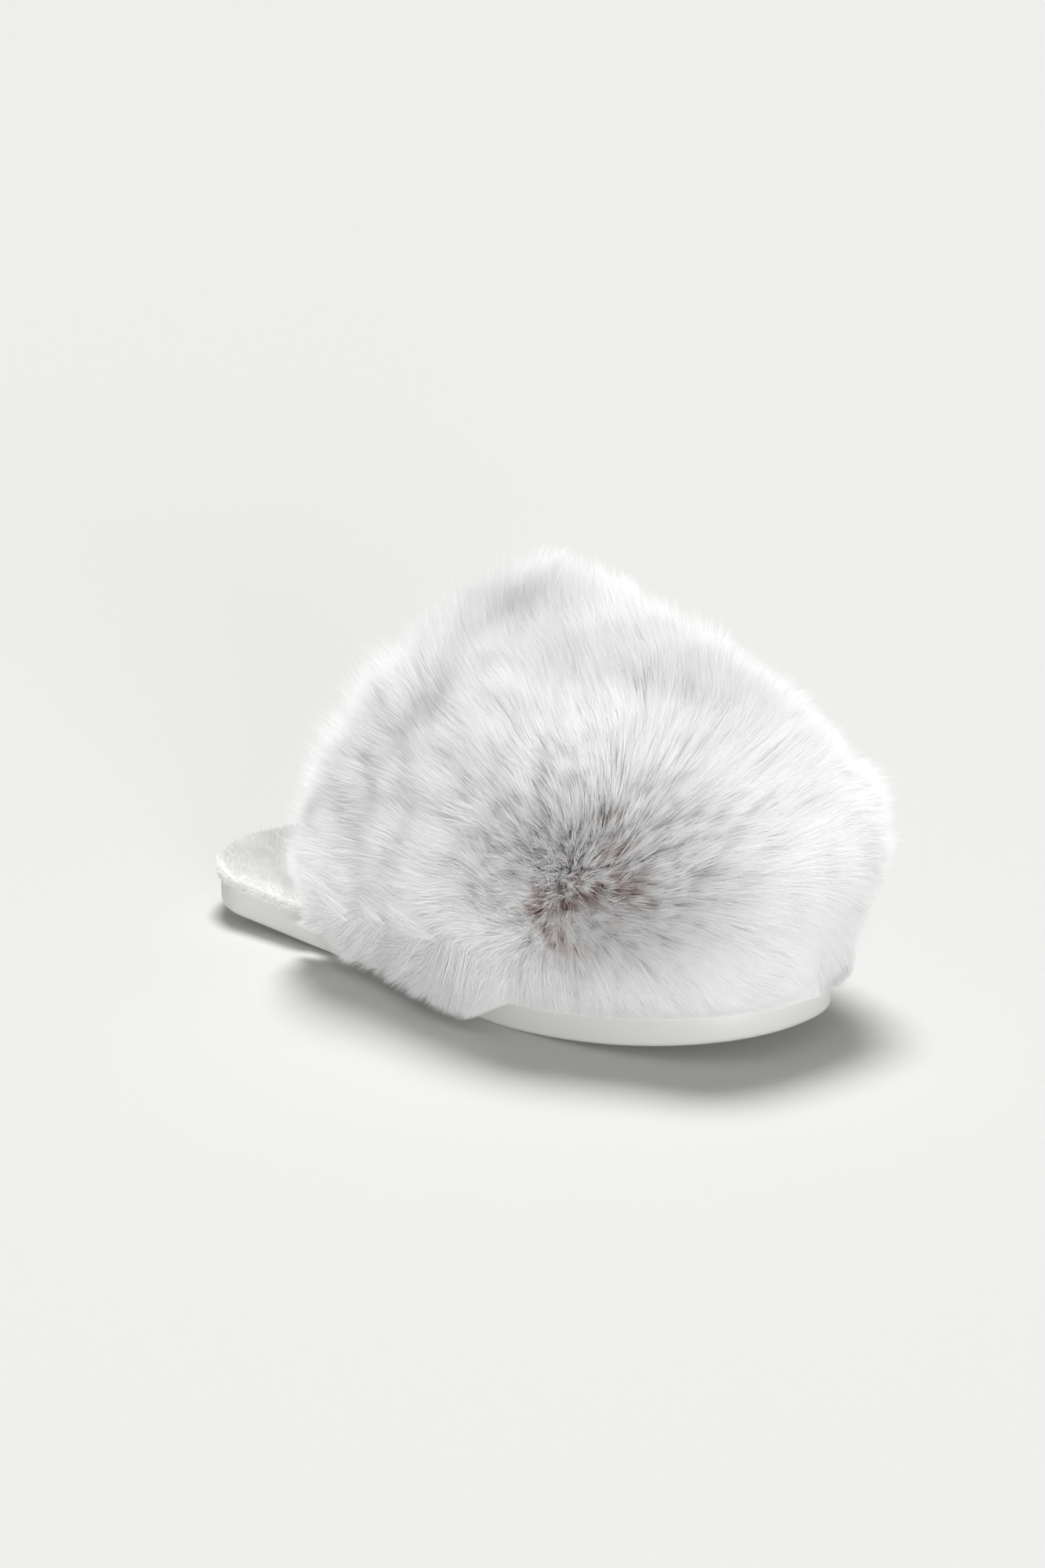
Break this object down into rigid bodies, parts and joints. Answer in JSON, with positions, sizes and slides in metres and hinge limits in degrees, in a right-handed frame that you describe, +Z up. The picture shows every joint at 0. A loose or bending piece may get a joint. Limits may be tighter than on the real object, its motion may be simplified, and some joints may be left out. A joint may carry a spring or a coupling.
{
  "type": "fluffy house slipper",
  "caption": "Closed-toe slip-on house slipper with a tall white fur upper, a plush footbed and a thin off-white moulded sole.",
  "frame": {"origin": "on the floor, under the middle of the outsole's length, on the flat stretch that the sole rests on", "axes": "+Z up, -Y towards the toe, +X towards the inner side of the foot"},
  "size_m": [0.1492, 0.2767, 0.1488],
  "materials": {
    "sole_foam": "smooth matt moulded foam rubber",
    "board": "pressed fibre board",
    "thread": "twisted sewing thread",
    "footbed_foam": "open-cell foam",
    "sock_plush": "short dense plush pile",
    "lining_plush": "short dense plush pile",
    "padding_foam": "open-cell foam",
    "stiffener": "thin stiffened sheet",
    "backing_cloth": "fine knitted backing, pinkish beige",
    "fur": "long soft fur pile",
    "binding_tape": "woven binding tape"
  },
  "bodies": {
    "root": {"outsole": "sole_foam", "insole_board": "board", "insole_seam": "thread", "base_foam": "footbed_foam", "soft_foam": "footbed_foam", "sock_lining": "sock_plush", "vamp_lining": "lining_plush", "vamp_padding": "padding_foam", "toe_puff": "stiffener", "vamp_backing": "backing_cloth", "vamp_fur": "fur", "topline_binding": "binding_tape", "binding_stitches": "thread"}
  },
  "joints": []
}
